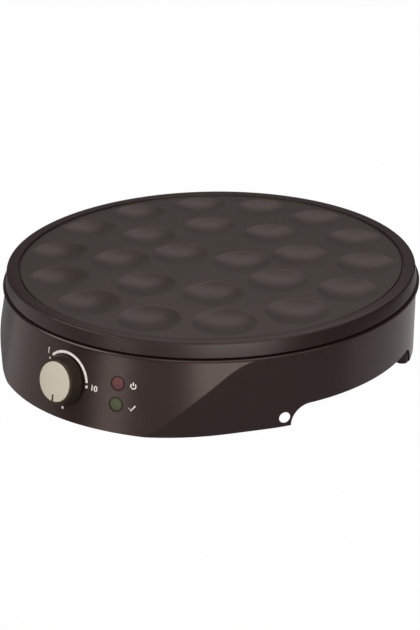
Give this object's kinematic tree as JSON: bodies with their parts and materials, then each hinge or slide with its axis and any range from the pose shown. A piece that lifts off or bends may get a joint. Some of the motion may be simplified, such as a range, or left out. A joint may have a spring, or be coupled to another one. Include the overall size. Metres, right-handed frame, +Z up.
{
  "type": "mini pancake maker",
  "caption": "Round low tabletop pancake maker: dimpled dark cooking plate, glossy dark casing with a flared front panel, control knob and two indicator lamps.",
  "frame": {"origin": "centre of the footprint on the surface that the feet stand on", "axes": "+Z up, -Y to the front where the knob is, +X to the right as seen from the front"},
  "size_m": [0.307, 0.3241, 0.067],
  "materials": {
    "plate_coating": "cast aluminium with a dark non-stick coating, satin",
    "casing_plastic": "very dark brown moulded plastic, glossy",
    "base_plastic": "black moulded plastic, matt",
    "knob_black": "black moulded plastic, satin",
    "cap_beige": "warm beige painted face, satin",
    "red_lens": "dark red translucent plastic, unlit",
    "green_lens": "dark green translucent plastic, unlit",
    "lamp_glass": "clear glass",
    "foot_rubber": "black rubber, matt",
    "steel": "plated steel",
    "aluminium": "plain aluminium",
    "brass": "plain brass",
    "block_plastic": "heat-resistant plastic, off-white",
    "wire_brown": "brown wire insulation",
    "wire_blue": "blue wire insulation",
    "wire_green": "green wire insulation"
  },
  "bodies": {
    "appliance": {"base_cover": "base_plastic", "base_screw_1": "steel", "base_screw_2": "steel", "base_screw_3": "steel", "base_screw_4": "steel", "capillary_tube": "brass", "casing_shell": "casing_plastic", "clamp_screw_1": "steel", "clamp_screw_2": "steel", "clamp_screw_3": "steel", "cooking_plate": "plate_coating", "cord_gland": "base_plastic", "earth_screw": "steel", "earth_tab": "brass", "element_clamp_1": "aluminium", "element_clamp_2": "aluminium", "element_clamp_3": "aluminium", "element_terminal_1": "brass", "element_terminal_2": "brass", "foot_front_left": "foot_rubber", "foot_front_right": "foot_rubber", "foot_rear_left": "foot_rubber", "foot_rear_right": "foot_rubber", "fuse_clip": "steel", "heat_shield": "aluminium", "heating_element": "steel", "lower_spacer_1": "aluminium", "lower_spacer_2": "aluminium", "lower_spacer_3": "aluminium", "plate_bolt_1": "steel", "plate_bolt_2": "steel", "plate_bolt_3": "steel", "power_lamp_bulb": "lamp_glass", "power_lamp_holder": "knob_black", "power_lamp_lens": "red_lens", "ready_lamp_bulb": "lamp_glass", "ready_lamp_holder": "knob_black", "ready_lamp_lens": "green_lens", "sensor_bulb": "brass", "sensor_clip": "steel", "terminal_block": "block_plastic", "thermal_fuse": "block_plastic", "thermostat_body": "block_plastic", "thermostat_nut": "steel", "thermostat_terminal_1": "brass", "thermostat_terminal_2": "brass", "upper_spacer_1": "aluminium", "upper_spacer_2": "aluminium", "upper_spacer_3": "aluminium", "wire_earth": "wire_green", "wire_element": "wire_blue", "wire_live": "wire_brown", "wire_neutral": "wire_blue", "wire_switched": "wire_brown"},
    "control_knob": {"knob_body": "knob_black", "knob_cap": "cap_beige", "knob_pointer": "knob_black", "knob_clip": "steel", "thermostat_shaft": "steel"}
  },
  "joints": [
    {"name": "knob_turn", "type": "hinge", "parent": "appliance", "child": "control_knob", "pos_m": [0, -0.14946, 0.029], "axis": [0, 0.9709, -0.2394], "range_deg": [0, 275]}
  ]
}
